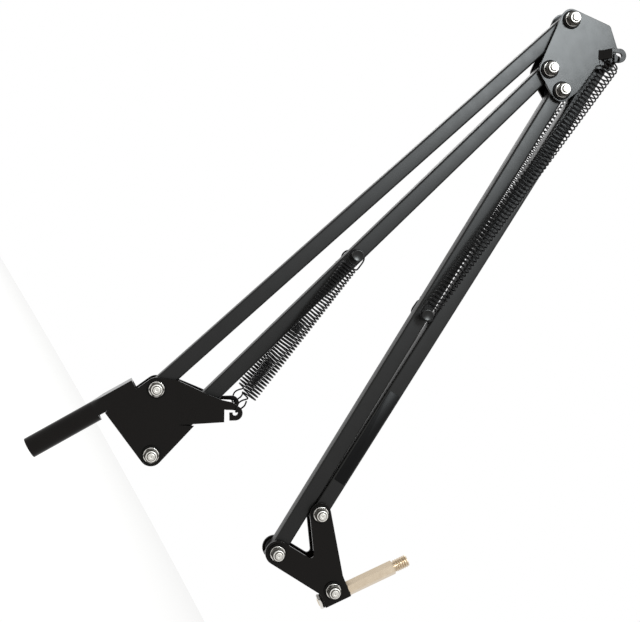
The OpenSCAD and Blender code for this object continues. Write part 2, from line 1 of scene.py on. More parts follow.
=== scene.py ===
import bpy
import numpy as np
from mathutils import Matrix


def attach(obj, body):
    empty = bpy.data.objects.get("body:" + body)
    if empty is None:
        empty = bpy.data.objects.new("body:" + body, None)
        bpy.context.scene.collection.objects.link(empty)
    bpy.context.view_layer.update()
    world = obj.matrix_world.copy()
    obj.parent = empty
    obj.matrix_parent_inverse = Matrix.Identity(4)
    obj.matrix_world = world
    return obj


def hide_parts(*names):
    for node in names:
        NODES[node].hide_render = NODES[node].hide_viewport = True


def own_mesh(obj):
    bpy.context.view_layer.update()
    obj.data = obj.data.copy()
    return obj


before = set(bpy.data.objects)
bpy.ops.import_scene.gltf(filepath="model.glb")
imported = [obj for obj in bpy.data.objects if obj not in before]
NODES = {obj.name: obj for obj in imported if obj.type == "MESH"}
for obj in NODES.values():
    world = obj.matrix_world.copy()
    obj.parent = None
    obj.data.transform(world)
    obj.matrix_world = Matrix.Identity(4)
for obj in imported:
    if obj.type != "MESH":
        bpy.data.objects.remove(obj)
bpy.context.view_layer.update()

# Camera
# The lens and the place from which the photograph was taken. The arm lies turned by
# 61 degrees in the picture, so the camera is rolled by as much about its line of sight.
MM = 0.001
ROLL = np.radians(61.35)
YAW, PITCH = -0.182661, -0.035423
LENS_MM = 57.302
SENSOR_MM = 36.0
PHOTO_ORIGIN = np.array([6.2, 0.0, 37.7])
TO_PHOTO = np.array([-99.883, -47.359, 622.950])

turn_yaw = np.array([[np.cos(YAW), 0, np.sin(YAW)], [0, 1, 0], [-np.sin(YAW), 0, np.cos(YAW)]])
turn_pitch = np.array([[1, 0, 0], [0, np.cos(PITCH), -np.sin(PITCH)],
                       [0, np.sin(PITCH), np.cos(PITCH)]])
photo_turn = turn_pitch @ turn_yaw
picture_axes = np.array([[np.cos(ROLL), 0, np.sin(ROLL)], [-np.sin(ROLL), 0, np.cos(ROLL)],
                         [0, 1, 0]])
right, up, forward = photo_turn @ picture_axes
camera_at = (-photo_turn.T @ TO_PHOTO) @ picture_axes + PHOTO_ORIGIN

camera = bpy.data.objects.new("camera", bpy.data.cameras.new("camera"))
camera.data.sensor_width = SENSOR_MM
camera.data.lens = LENS_MM
camera.data.clip_start = 0.01
placed = np.eye(4)
placed[:3, 0], placed[:3, 1], placed[:3, 2] = right, up, -forward
placed[:3, 3] = camera_at * MM
camera.matrix_world = placed.T
bpy.context.scene.collection.objects.link(camera)
bpy.context.scene.camera = camera


# Floor, backdrop and lights
# A pale round floor below the arm's lowest reach, a white surround, a soft box over the
# knee's side of the arm that its flat faces mirror, and two wide soft lamps for the rest.
FLOOR_Z = -0.16
FLOOR_RADIUS = 1.6
FLOOR_GLOW = 0.44
ROOM_LIGHT = 0.50
WHITE = 1.0
scene = bpy.context.scene
scene.view_settings.view_transform = "Standard"


def nodes_of(material):
    """A material's node list and its list of links, cleared."""
    material.use_nodes = True
    tree = material.node_tree
    tree.nodes.clear()
    return tree.nodes, tree.links


def disc_mesh(name, radius, z, sides):
    """A flat round sheet: the point at angle a is (radius cos a, radius sin a, z)."""
    a = np.linspace(0, 2 * np.pi, sides, endpoint=False)
    ring = np.stack([radius * np.cos(a), radius * np.sin(a), np.full(sides, z)], axis=1)
    mesh = bpy.data.meshes.new(name)
    mesh.from_pydata(ring.tolist(), [], [list(range(sides))])
    thing = bpy.data.objects.new(name, mesh)
    scene.collection.objects.link(thing)
    return thing


def seen_directly(n, link):
    """An output that is 1 for rays from the camera, a mirror or glass, and 0 for others."""
    rays = n.new("ShaderNodeLightPath")
    seen = n.new("ShaderNodeMath")
    seen.operation = "MAXIMUM"
    seen_glass = n.new("ShaderNodeMath")
    seen_glass.operation = "MAXIMUM"
    link.new(rays.outputs["Is Camera Ray"], seen.inputs[0])
    link.new(rays.outputs["Is Glossy Ray"], seen.inputs[1])
    link.new(seen.outputs[0], seen_glass.inputs[0])
    link.new(rays.outputs["Is Transmission Ray"], seen_glass.inputs[1])
    return seen_glass.outputs[0]


floor = disc_mesh("floor", FLOOR_RADIUS, FLOOR_Z, 96)
floor_paint = bpy.data.materials.new("floor_paint")
n, link = nodes_of(floor_paint)
out = n.new("ShaderNodeOutputMaterial")
matt = n.new("ShaderNodeBsdfDiffuse")
matt.inputs["Color"].default_value = (0.80, 0.80, 0.79, 1)
glow = n.new("ShaderNodeEmission")
share = n.new("ShaderNodeMath")
share.operation = "MULTIPLY"
share.inputs[1].default_value = FLOOR_GLOW
both = n.new("ShaderNodeAddShader")
link.new(seen_directly(n, link), share.inputs[0])
link.new(share.outputs[0], glow.inputs["Strength"])
link.new(matt.outputs[0], both.inputs[0])
link.new(glow.outputs[0], both.inputs[1])
link.new(both.outputs[0], out.inputs["Surface"])
floor.data.materials.append(floor_paint)

world = bpy.data.worlds.new("studio")
world.use_nodes = True
scene.world = world
n, link = world.node_tree.nodes, world.node_tree.links
n.clear()
out = n.new("ShaderNodeOutputWorld")
level = n.new("ShaderNodeMapRange")
level.inputs["To Min"].default_value = ROOM_LIGHT
level.inputs["To Max"].default_value = WHITE
surround = n.new("ShaderNodeBackground")
surround.inputs["Color"].default_value = (1, 1, 1, 1)
link.new(seen_directly(n, link), level.inputs["Value"])
link.new(level.outputs["Result"], surround.inputs["Strength"])
link.new(surround.outputs[0], out.inputs["Surface"])


def soft_lamp(name, at, towards, width, height, power):
    """An area lamp of width by height metres at a point, facing another point."""
    lamp = bpy.data.lights.new(name, "AREA")
    lamp.shape = "ELLIPSE"
    lamp.size, lamp.size_y = width, height
    lamp.energy = power
    back = np.array(at, float) - np.array(towards, float)
    back /= np.linalg.norm(back)
    side = np.cross([0.0, 0.0, 1.0], back)
    side /= np.linalg.norm(side)
    pose = np.eye(4)
    pose[:3, 0], pose[:3, 1], pose[:3, 2] = side, np.cross(back, side), back
    pose[:3, 3] = at
    thing = bpy.data.objects.new(name, lamp)
    thing.matrix_world = pose.T
    scene.collection.objects.link(thing)
    return thing


# The soft box stands where the knee's plate mirrors it to the camera, drawn up and to the
# left so that the plate darkens towards its ear and the coil. It is left off matt surfaces,
# which stay at a plain level under the two lamps and the surround.
KNEE_FACE = -8.0 * MM
BOX_AWAY, BOX_LEFT, BOX_UP, BOX_SIZE = 1.15, 0.15, 0.11, 0.42
knee_middle = np.array([-45.0, -8.0, 378.0]) * MM
mirrored_camera = camera_at * MM * [1, -1, 1] + [0, 2 * KNEE_FACE, 0]
mirror_way = knee_middle - mirrored_camera
mirror_way /= np.linalg.norm(mirror_way)
soft_box = soft_lamp("soft_box", knee_middle + BOX_AWAY * mirror_way - BOX_LEFT * right
                     + BOX_UP * up, knee_middle, BOX_SIZE, BOX_SIZE, 15.0)
soft_box.data.color = (0.91, 0.975, 1.0)
soft_box.visible_diffuse = False
soft_lamp("top_lamp", (0.25, -0.35, 1.55), (0.0, 0.0, 0.2), 0.9, 0.9, 5.0)
soft_lamp("back_lamp", (-0.3, 1.2, 0.9), (0.0, 0.0, 0.2), 0.9, 0.9, 4.0)


# Base bracket
# One steel sheet, rolled into a round spigot below, opening into two side plates with
# joggled ears above. Cut, rolled, folded and powder coated in satin black.
def powder_coat(name, dark, pale, rough, specular, grain=1400.0, waviness=160.0):
    """Powder coat: two near blacks mixed by cloudy noise, orange peel as two bumps,
    a little roughness noise, and rounded edges from the Bevel node."""
    paint = bpy.data.materials.new(name)
    n, link = nodes_of(paint)
    out = n.new("ShaderNodeOutputMaterial")
    skin = n.new("ShaderNodeBsdfPrincipled")
    place = n.new("ShaderNodeTexCoord")
    clouds = n.new("ShaderNodeTexNoise")
    clouds.inputs["Scale"].default_value = 28.0
    clouds.inputs["Detail"].default_value = 5.0
    clouds.inputs["Roughness"].default_value = 0.6
    peel = n.new("ShaderNodeTexNoise")
    peel.inputs["Scale"].default_value = grain
    peel.inputs["Detail"].default_value = 2.0
    swell = n.new("ShaderNodeTexNoise")
    swell.inputs["Scale"].default_value = waviness
    swell.inputs["Detail"].default_value = 2.0
    tint = n.new("ShaderNodeMix")
    tint.data_type = "RGBA"
    tint.inputs["A"].default_value = (*dark, 1)
    tint.inputs["B"].default_value = (*pale, 1)
    gloss = n.new("ShaderNodeMapRange")
    gloss.inputs["From Min"].default_value = 0.3
    gloss.inputs["From Max"].default_value = 0.7
    gloss.inputs["To Min"].default_value = rough - 0.015
    gloss.inputs["To Max"].default_value = rough + 0.02
    edges = n.new("ShaderNodeBevel")
    edges.samples = 6
    edges.inputs["Radius"].default_value = 0.0004
    wide = n.new("ShaderNodeBump")
    wide.inputs["Strength"].default_value = 0.05
    wide.inputs["Distance"].default_value = 0.00006
    fine = n.new("ShaderNodeBump")
    fine.inputs["Strength"].default_value = 0.22
    fine.inputs["Distance"].default_value = 0.00003
    for noise in (clouds, peel, swell):
        link.new(place.outputs["Object"], noise.inputs["Vector"])
    link.new(clouds.outputs["Fac"], tint.inputs["Factor"])
    link.new(tint.outputs["Result"], skin.inputs["Base Color"])
    link.new(swell.outputs["Fac"], gloss.inputs["Value"])
    link.new(gloss.outputs["Result"], skin.inputs["Roughness"])
    link.new(swell.outputs["Fac"], wide.inputs["Height"])
    link.new(peel.outputs["Fac"], fine.inputs["Height"])
    link.new(edges.outputs["Normal"], wide.inputs["Normal"])
    link.new(wide.outputs["Normal"], fine.inputs["Normal"])
    link.new(fine.outputs["Normal"], skin.inputs["Normal"])
    skin.inputs["Specular IOR Level"].default_value = specular
    link.new(skin.outputs[0], out.inputs["Surface"])
    return paint


def coat(name, material):
    """Gives a CAD node its material."""
    mesh = NODES[name].data
    mesh.materials.clear()
    mesh.materials.append(material)


bracket_paint = powder_coat("bracket_paint", (0.0048, 0.0034, 0.0024), (0.0064, 0.0048, 0.0036),
                            0.17, 0.14)
coat("base_bracket", bracket_paint)


# Square tubes
# Cold rolled square steel tube, 10 mm with a 1 mm wall, sawn to length, drilled and
# powder coated. Each is held by a bolt through its two side walls.
TUBE = 10.0
WALL = 1.0
CORNER = 1.3
OVERHANG = 5.5
LOWER_LEN, UPPER_LEN = 352.6, 344.7
LOWER_RISE, UPPER_DROP = np.radians(102.66), np.radians(61.08)
MAIN_BASE = np.array([5.6, 37.7])
LINK_BASE = np.array([38.9, 15.5])
MAIN_KNEE = MAIN_BASE + LOWER_LEN * np.array([np.cos(LOWER_RISE), np.sin(LOWER_RISE)])
LINK_KNEE = MAIN_KNEE + [21.2, -28.2]
MAIN_UPPER = MAIN_KNEE + [36.8, -27.5]
LINK_UPPER = MAIN_KNEE + [34.2, 8.0]
MAIN_HEAD = MAIN_UPPER + UPPER_LEN * np.array([np.cos(UPPER_DROP), -np.sin(UPPER_DROP)])
LINK_HEAD = MAIN_HEAD + [-7.4, 35.1]
SWIVEL = MAIN_HEAD + [39.2, 18.7]


def grid_faces(rows, columns, close_rows=False, close_columns=False, start=0):
    """Four sided faces between neighbours of a grid whose points are numbered row by row."""
    i = np.arange(rows if close_rows else rows - 1)[:, None]
    j = np.arange(columns if close_columns else columns - 1)[None, :]
    i2, j2 = (i + 1) % rows, (j + 1) % columns
    corners = [i * columns + j, i * columns + j2, i2 * columns + j2, i2 * columns + j]
    return start + np.stack([np.broadcast_to(c, (i.shape[0], j.shape[1])).ravel()
                             for c in corners], axis=1)


def make_piece(name, parts, material, smooth=40.0):
    """One object from a list of (points in mm, faces); edges sharper than smooth stay sharp."""
    counts = np.cumsum([0] + [p.size // 3 for p, f in parts])
    points = np.concatenate([p.reshape(-1, 3) for p, f in parts]) * MM
    faces = [list(map(int, face)) for (p, f), at in zip(parts, counts) for face in
             (np.asarray(f) + at if isinstance(f, np.ndarray) else [np.asarray(g) + at for g in f])]
    mesh = bpy.data.meshes.new(name)
    mesh.from_pydata(points.tolist(), [], faces)
    mesh.validate()
    mesh.shade_smooth()
    mesh.set_sharp_from_angle(angle=np.radians(smooth))
    mesh.materials.append(material)
    thing = bpy.data.objects.new(name, mesh)
    scene.collection.objects.link(thing)
    return thing


def rounded_square(half, radius, steps):
    """Outline of a square of half width `half` whose corners are arcs of that radius,
    counter-clockwise, as an array of (side, up) pairs."""
    a = np.radians(np.arange(4)[:, None] * 90 + np.linspace(0, 90, steps)[None, :])
    corner = np.radians(np.arange(4) * 90 + 45)[:, None]
    inset = (half - radius) * np.sqrt(2)
    return np.stack([inset * np.cos(corner) + radius * np.cos(a),
                     inset * np.sin(corner) + radius * np.sin(a)], axis=-1).reshape(-1, 2)


def square_tube(start, end):
    """Square tube between two pivots in the XZ plane. Its section is carried along the
    outside, round the sawn rim with a small break of the edge, and back along the bore."""
    way = (end - start) / np.linalg.norm(end - start)
    normal = np.array([-way[1], way[0]])
    length = np.linalg.norm(end - start)
    steps, lip = 7, 0.15
    half = TUBE / 2
    outside = rounded_square(half, CORNER, steps)
    broken = rounded_square(half - lip, CORNER - lip, steps)
    bore = rounded_square(half - WALL, 0.35, steps)
    stations = np.linspace(-OVERHANG + lip, length + OVERHANG - lip, 24)
    loops = [(broken, -OVERHANG)] + [(outside, s) for s in stations]
    loops += [(broken, length + OVERHANG), (bore, length + OVERHANG), (bore, -OVERHANG)]
    rows = np.array([np.column_stack([section, np.full(len(section), s)]) for section, s in loops])
    side, rise, along = rows[..., 0], rows[..., 1], rows[..., 2]
    points = np.stack([start[0] + way[0] * along + normal[0] * rise, side,
                       start[1] + way[1] * along + normal[1] * rise], axis=-1)
    return points, grid_faces(len(loops), len(outside), True, True)


tube_paint = powder_coat("tube_paint", (0.0055, 0.0051, 0.0046), (0.0090, 0.0085, 0.0078),
                         0.38, 0.27)
TUBES = (("lower_main_rod", "lower_main_tube", "lower_main", MAIN_BASE, MAIN_KNEE),
         ("lower_link_rod", "lower_link_tube", "lower_link", LINK_BASE, LINK_KNEE),
         ("upper_main_rod", "upper_main_tube", "upper_main", MAIN_UPPER, MAIN_HEAD),
         ("upper_link_rod", "upper_link_tube", "upper_link", LINK_UPPER, LINK_HEAD))
for name, node, body, start, end in TUBES:
    tube = make_piece(name, [square_tube(start, end)], tube_paint)
    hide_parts(node)
    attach(tube, body)


# Knee bracket
# Folded steel sheet with a short web along its top edge and an ear on each side plate
# that ends in a hook for the upper springs. Stamped, folded and powder coated.
coat("knee_bracket", bracket_paint)


# Head bracket
# Folded steel sheet, two V shaped plates joined by a web along the long edge.
# Stamped, folded and powder coated.
coat("head_bracket", bracket_paint)


# Pivot bolts
# M5 steel bolts, zinc plated, with hexagon heads behind. A bolt passes a bracket's plates
# and a tube, and its domed, threaded end stands 1 mm out of the lock nut in front.
BOLT_R = 2.5
PLATE = 8.0
WASHER_T = 1.0
NUT_WASHER_T = 1.0
NUT_H = 5.0
NUT_FLATS = 8.0
NUT_FROM = PLATE + WASHER_T + NUT_WASHER_T
NUT_FACE = NUT_FROM + NUT_H
TIP = NUT_FACE + 1.0
HEAD_H = 3.5
THREAD_PITCH = 0.8


def turned(centre, radii, depths, sides=72):
    """A turned surface about an axis along Y: the ring for each (radius, depth) pair is
    centre + radius (cos a, sin a) in X and Z. Radii may be one per ring or one per point."""
    a = np.linspace(0, 2 * np.pi, sides, endpoint=False)
    r = np.asarray(radii, float)
    d = np.asarray(depths, float)
    r = np.broadcast_to(r[:, None] if r.ndim == 1 else r, (len(r), sides))
    d = np.broadcast_to(d[:, None] if d.ndim == 1 else d, (len(d), sides))
    return np.stack([centre[0] + r * np.cos(a), d, centre[1] + r * np.sin(a)], axis=-1)


def facing(points, outward=True):
    """The grid's faces, turned so that they point outwards for rings that run from back
    to front, with a face closing each end."""
    rows, columns = points.shape[:2]
    walls = grid_faces(rows, columns, False, True)
    first = list(range(columns))
    last = list(range((rows - 1) * columns, rows * columns))
    faces = [list(f) for f in walls] + [first[::-1], last]
    return faces if outward else [f[::-1] for f in faces]


def hexagon_radius(flats, sides):
    """Distance from the middle of a hexagon to its rim at each angle, a corner at angle 0."""
    a = np.linspace(0, 2 * np.pi, sides, endpoint=False)
    return flats / 2 / np.cos((a % (np.pi / 3)) - np.pi / 6)


def hexagon_block(centre, y0, y1, flats, bore):
    """A hexagon between two depths with its corners turned off at 30 degrees: the
    chamfer's depth at an angle is (hexagon radius - turned radius) tan 30. The bore is
    countersunk, or closed by a shallow dome where bore is 0."""
    sides = 96
    h = hexagon_radius(flats, sides)
    face = np.full(sides, flats / 2 * 0.965)
    cut = (h - face) * np.tan(np.radians(30))
    one = np.ones(sides)
    rings = [(one * max(bore, 0.4), y0), (face, y0 + 0 * cut), (h, y0 + cut),
             (h, y1 - cut), (face, y1 + 0 * cut)]
    if bore:
        rings += [(one * (bore + 0.45), y1 * one), (one * bore, (y1 - 0.45) * one),
                  (one * bore, (y0 + 0.1) * one)]
    else:
        rings += [(face * 0.5, one * (y1 + 0.12)), (one * 0.4, one * (y1 + 0.16))]
    radii = np.array([r for r, d in rings])
    depths = np.array([d * one for r, d in rings])
    return turned(centre, radii, depths, sides)


def bolt(centre):
    """A bolt along Y: a head at the back, a shank, and in front a thread whose radius at
    angle a and depth y is BOLT_R - 0.25 |saw(y / pitch - a / turn)|, under a turned end
    with a shallow ring groove and a small centre mark."""
    sides = 72
    a = np.linspace(0, 2 * np.pi, sides, endpoint=False)
    depth = np.concatenate([[-PLATE, NUT_FACE - 0.5], np.linspace(NUT_FACE - 0.4, TIP - 0.35, 12)])
    saw = np.abs(((depth[:, None] / THREAD_PITCH + a / (2 * np.pi)) % 1.0) * 2 - 1)
    run_in = np.clip((depth - NUT_FACE + 0.4) / 0.2, 0, 1)
    run_out = np.clip((TIP - 0.35 - depth) / 0.15, 0, 1)
    wall = BOLT_R - 0.04 - 0.25 * np.clip(saw * 1.6 - 0.5, 0, 1) * (run_in * run_out)[:, None]
    end_r = np.array([2.32, 2.12, 1.95, 1.55, 1.42, 1.30, 0.75, 0.6, 0.4])
    end_y = TIP - np.array([0.22, 0.08, 0.0, 0.0, 0.12, 0.0, 0.0, 0.05, 0.08])
    radii = np.concatenate([wall, np.repeat(end_r[:, None], sides, 1)])
    depths = np.concatenate([depth, end_y])
    shank = turned(centre, radii, -depths, sides)
    head = hexagon_block(centre, PLATE, PLATE + HEAD_H, NUT_FLATS, 0)
    return [(shank, facing(shank)), (head, facing(head, False))]


def plated_metal(name, colour, pale, rough, metal=1.0, scratch=900.0, specular=0.5):
    """Plated or blackened steel: clouded tint, turning marks as a fine bump round the
    axis, and uneven roughness."""
    metal_skin = bpy.data.materials.new(name)
    n, link = nodes_of(metal_skin)
    out = n.new("ShaderNodeOutputMaterial")
    skin = n.new("ShaderNodeBsdfPrincipled")
    place = n.new("ShaderNodeTexCoord")
    clouds = n.new("ShaderNodeTexNoise")
    clouds.inputs["Scale"].default_value = 260.0
    clouds.inputs["Detail"].default_value = 4.0
    marks = n.new("ShaderNodeTexNoise")
    marks.inputs["Scale"].default_value = scratch
    marks.inputs["Detail"].default_value = 3.0
    tint = n.new("ShaderNodeMix")
    tint.data_type = "RGBA"
    tint.inputs["A"].default_value = (*colour, 1)
    tint.inputs["B"].default_value = (*pale, 1)
    gloss = n.new("ShaderNodeMapRange")
    gloss.inputs["From Min"].default_value = 0.3
    gloss.inputs["From Max"].default_value = 0.7
    gloss.inputs["To Min"].default_value = rough - 0.05
    gloss.inputs["To Max"].default_value = rough + 0.07
    fine = n.new("ShaderNodeBump")
    fine.inputs["Strength"].default_value = 0.10
    fine.inputs["Distance"].default_value = 0.00002
    for noise in (clouds, marks):
        link.new(place.outputs["Object"], noise.inputs["Vector"])
    link.new(clouds.outputs["Fac"], tint.inputs["Factor"])
    link.new(tint.outputs["Result"], skin.inputs["Base Color"])
    link.new(clouds.outputs["Fac"], gloss.inputs["Value"])
    link.new(gloss.outputs["Result"], skin.inputs["Roughness"])
    link.new(marks.outputs["Fac"], fine.inputs["Height"])
    link.new(fine.outputs["Normal"], skin.inputs["Normal"])
    skin.inputs["Metallic"].default_value = metal
    skin.inputs["Specular IOR Level"].default_value = specular
    link.new(skin.outputs[0], out.inputs["Surface"])
    return metal_skin


def painted_shade_behind_front(material, y0, y1, shade_colour):
    """Painted shade on plating: the tint is mixed with a dark painted shade colour by
    how far the surface's Y lies from y1, the front, back to y0, so only the front stays bright."""
    n, link = material.node_tree.nodes, material.node_tree.links
    skin = n["Principled BSDF"]
    tint = skin.inputs["Base Color"].links[0].from_socket
    place = n.new("ShaderNodeTexCoord")
    apart = n.new("ShaderNodeSeparateXYZ")
    depth = n.new("ShaderNodeMapRange")
    depth.inputs["From Min"].default_value = y0 * MM
    depth.inputs["From Max"].default_value = y1 * MM
    # Painted shade: this mix darkens everything that lies behind the front.
    shaded = n.new("ShaderNodeMix")
    shaded.data_type = "RGBA"
    shaded.inputs["A"].default_value = (*shade_colour, 1)
    link.new(place.outputs["Object"], apart.inputs[0])
    link.new(apart.outputs["Y"], depth.inputs["Value"])
    link.new(depth.outputs["Result"], shaded.inputs["Factor"])
    link.new(tint, shaded.inputs["B"])
    link.new(shaded.outputs["Result"], skin.inputs["Base Color"])


bolt_steel = plated_metal("bolt_steel", (0.54, 0.52, 0.48), (0.68, 0.66, 0.62), 0.50)
# Painted shade: the bolt is painted dark behind its end, so only the domed end is bright.
painted_shade_behind_front(bolt_steel, -TIP + 0.12, -TIP + 0.03, (0.16, 0.15, 0.135))
BASE_PIVOTS = [MAIN_BASE, LINK_BASE]
KNEE_PIVOTS = [MAIN_KNEE, LINK_KNEE, MAIN_UPPER]
HEAD_PIVOTS = [MAIN_HEAD, LINK_HEAD, SWIVEL]
for name, node, body, pivots in (("base_pivot_bolts", "base_bolts", "base", BASE_PIVOTS),
                                 ("knee_pivot_bolts", "knee_bolts", "knee", KNEE_PIVOTS),
                                 ("head_pivot_bolts", "head_bolts", "head", HEAD_PIVOTS)):
    bolts = make_piece(name, [part for p in pivots for part in bolt(p)], bolt_steel, 30.0)
    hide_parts(node)
    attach(bolts, body)


# Washers under the nuts
# Two flat steel washers on each bolt: a blackened one of 11.8 mm on the plate, and a
# nickel plated one of 9.4 mm on it, under the nut. Pressed, with one rounded rim.
WASHER_R = 5.9
NUT_WASHER_R = 4.7


def washer(centre, y0, y1, outer, bore, rim=0.25):
    """A flat ring between two depths; its outer rim is rounded by quarter circles."""
    q = np.linspace(0, np.pi / 2, 5)
    radii = np.concatenate([[bore, outer - rim], outer - rim + rim * np.sin(q),
                            outer - rim + rim * np.cos(q), [bore]])
    depths = np.concatenate([[y0, y0], y0 + rim - rim * np.cos(q), y1 - rim + rim * np.sin(q),
                             [y1]])
    points = turned(centre, radii, depths, 64)
    return points, grid_faces(len(radii), 64, True, True)[:, ::-1]


black_oxide = plated_metal("black_oxide", (0.006, 0.0055, 0.005), (0.011, 0.0105, 0.010), 0.50,
                           metal=0.0, specular=0.06)
nickel = plated_metal("nickel", (0.60, 0.58, 0.54), (0.80, 0.78, 0.74), 0.22)
for place, pivots in (("base", BASE_PIVOTS), ("knee", KNEE_PIVOTS), ("head", HEAD_PIVOTS)):
    black = [washer(p, -PLATE - WASHER_T, -PLATE, WASHER_R, BOLT_R + 0.05) for p in pivots]
    bright = [washer(p, -NUT_FROM, -PLATE - WASHER_T, NUT_WASHER_R, BOLT_R + 0.05, 0.18)
              for p in pivots]
    for name, node, rings, material, finish in (
            ("flat_washers", "washers", black, black_oxide, "black_bolt"),
            ("bright_washers", "nut_washers", bright, nickel, "nickel_nut")):
        washers = make_piece(place + "_" + name, rings, material, 30.0)
        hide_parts(place + "_" + node)
        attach(washers, place)


# Lock nuts
# Nickel plated M5 lock nuts: a hexagon of 8 mm across flats, 2.9 mm high, its corners
# turned off, and on top a round collar of 6.9 mm, rolled in over the locking ring. The
# walls are painted darker than the front, as painted shade.
COLLAR_R = 3.45
HEX_H = 2.9
ROLL = 0.55


def lock_nut(centre):
    """Rings from the bore's back edge outwards over the hexagon, whose corners are turned
    off at 30 degrees, up the collar, over its rolled rim, and down into the bore."""
    sides = 96
    one = np.ones(sides)
    h = hexagon_radius(NUT_FLATS, sides)
    low = one * NUT_FLATS / 2 * 0.965
    cut = (h - low) * np.tan(np.radians(30))
    q = np.radians(np.linspace(0, 90, 5))
    bore = BOLT_R + 0.05
    rings = [(one * (bore + 0.3), 0 * one), (low, 0 * one), (h, cut), (h, HEX_H - cut),
             (low, one * HEX_H), (one * (COLLAR_R + 0.12), one * (HEX_H + 0.02)),
             (one * COLLAR_R, one * (HEX_H + 0.2))]
    rings += [(one * (COLLAR_R - ROLL + ROLL * np.cos(b)), one * (NUT_H - ROLL + ROLL * np.sin(b)))
              for b in q]
    rings += [(one * (bore + 0.18), one * (NUT_H - 0.03)), (one * bore, one * (NUT_H - 0.25)),
              (one * bore, one * 0.3)]
    radii = np.array([r for r, d in rings])
    depths = np.array([d for r, d in rings])
    points = turned(centre, radii, -NUT_FROM - depths, sides)
    return points, grid_faces(len(rings), sides, True, True)


nut_nickel = plated_metal("nut_nickel", (0.60, 0.58, 0.54), (0.80, 0.78, 0.74), 0.42)
# Painted shade: all of the nut but its rolled front is painted dark.
painted_shade_behind_front(nut_nickel, -NUT_FACE + 0.5, -NUT_FACE + 0.12, (0.060, 0.056, 0.050))
for place, pivots in (("base", BASE_PIVOTS), ("knee", KNEE_PIVOTS), ("head", HEAD_PIVOTS)):
    nuts = make_piece(place + "_lock_nuts", [lock_nut(p) for p in pivots], nut_nickel, 30.0)
    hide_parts(place + "_nuts")
    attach(nuts, place)


# Spacers between the tubes and the plates
# Black nylon rings, turned, a little looser than the bolts that they sit on.
nylon = powder_coat("nylon", (0.012, 0.012, 0.012), (0.020, 0.020, 0.021), 0.5, 0.4, 2600.0,
                    700.0)
for node in ("base_spacers", "knee_spacers", "head_spacers"):
    coat(node, nylon)


# Knee rivet
# A flush steel rivet that holds the upper link tube between the knee's plates,
# coated together with the plate.
coat("knee_rivet", bracket_paint)


# Spring pins
# Steel pins through the spring carrying tubes, their ends swelled into round heads with
# a shallow dish, which keep the spring's rings on.
PIN_R = 2.5
PIN_HEAD_R = 3.8
PIN_HEAD_FROM = 11.6
PIN_HEAD_H = 1.5
LOWER_WAY = (LINK_KNEE - LINK_BASE) / np.linalg.norm(LINK_KNEE - LINK_BASE)
UPPER_WAY = (MAIN_HEAD - MAIN_UPPER) / np.linalg.norm(MAIN_HEAD - MAIN_UPPER)
LOWER_PIN_AT, UPPER_PIN_AT, UPPER_PIN_OFF = 175.2, 169.6, 1.2
LOWER_PIN = LINK_BASE + LOWER_PIN_AT * LOWER_WAY
UPPER_PIN = (MAIN_UPPER + UPPER_PIN_AT * UPPER_WAY
             + UPPER_PIN_OFF * np.array([-UPPER_WAY[1], UPPER_WAY[0]]))


def spring_pin(centre):
    """A turned pin, the same on both sides: shank, the head's flat underside, a rounded
    rim of quarter circle, and a dish whose depth falls with the square of the radius."""
    q = np.linspace(0, np.pi / 2, 6)
    rim = 0.6
    top = PIN_HEAD_FROM + PIN_HEAD_H
    dish = np.linspace(1, 0.06, 8)
    radii = np.concatenate([[PIN_R, PIN_R, PIN_HEAD_R - 0.15, PIN_HEAD_R],
                            PIN_HEAD_R - rim + rim * np.cos(q), (PIN_HEAD_R - rim - 0.1) * dish])
    depths = np.concatenate([[0, PIN_HEAD_FROM, PIN_HEAD_FROM, PIN_HEAD_FROM + 0.15],
                             top - rim + rim * np.sin(q), top - 0.42 * (1 - dish ** 2)])
    radii = np.concatenate([radii[::-1], radii[1:]])
    depths = np.concatenate([-depths[::-1], depths[1:]])
    points = turned(centre, radii, depths, 64)
    return points, facing(points, False)


pin_steel = plated_metal("pin_steel", (0.018, 0.018, 0.018), (0.032, 0.032, 0.031), 0.30, metal=0.9,
                         specular=0.1)
for name, node, body, at in (("lower_pin", "lower_spring_pin", "lower_link", LOWER_PIN),
                             ("upper_pin", "upper_spring_pin", "upper_main", UPPER_PIN)):
    pin = make_piece(name, [spring_pin(at)], pin_steel, 35.0)
    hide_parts(node)
    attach(pin, body)


# Extension springs
# Four springs of 1 mm blackened spring wire, 11 mm across. One end is a ring round the
# pin, the other a long wire hook in the bracket's ear. Stretched, so the coils stand open.
WIRE_R = 0.5
COIL_R = 5.0
SPRING_DEPTH = 10.8
KNEE_SEAT_DEPTH = 14.2
HOOK_BEND = 0.8 + WIRE_R + 0.6
HOOK_ROOM = 0.55
PIN_PLAY = 0.66
EAR_ANGLE = np.radians(61.2)
EAR_WAY = np.array([np.cos(EAR_ANGLE), np.sin(EAR_ANGLE)])
FAR_HOOK_RISE = 3.7
NEAR_HOOK = MAIN_BASE + [36.1, 34.1]
FAR_HOOK = NEAR_HOOK + FAR_HOOK_RISE * np.array([-EAR_WAY[1], EAR_WAY[0]])
KNEE_HOOK = MAIN_KNEE + [34.7, 15.2]


def evenly(points, gap, rounds):
    """The broken line through the points cut into equal steps of about `gap`, then eased
    by averaging each inner point with its neighbours, a quarter of each, `rounds` times."""
    run = np.concatenate([[0], np.cumsum(np.linalg.norm(np.diff(points, axis=0), axis=1))])
    s = np.linspace(0, run[-1], int(run[-1] / gap))
    line = np.stack([np.interp(s, run, points[:, k]) for k in range(3)], axis=1)
    for _ in range(rounds):
        line[1:-1] = 0.25 * line[:-2] + 0.5 * line[1:-1] + 0.25 * line[2:]
    return line


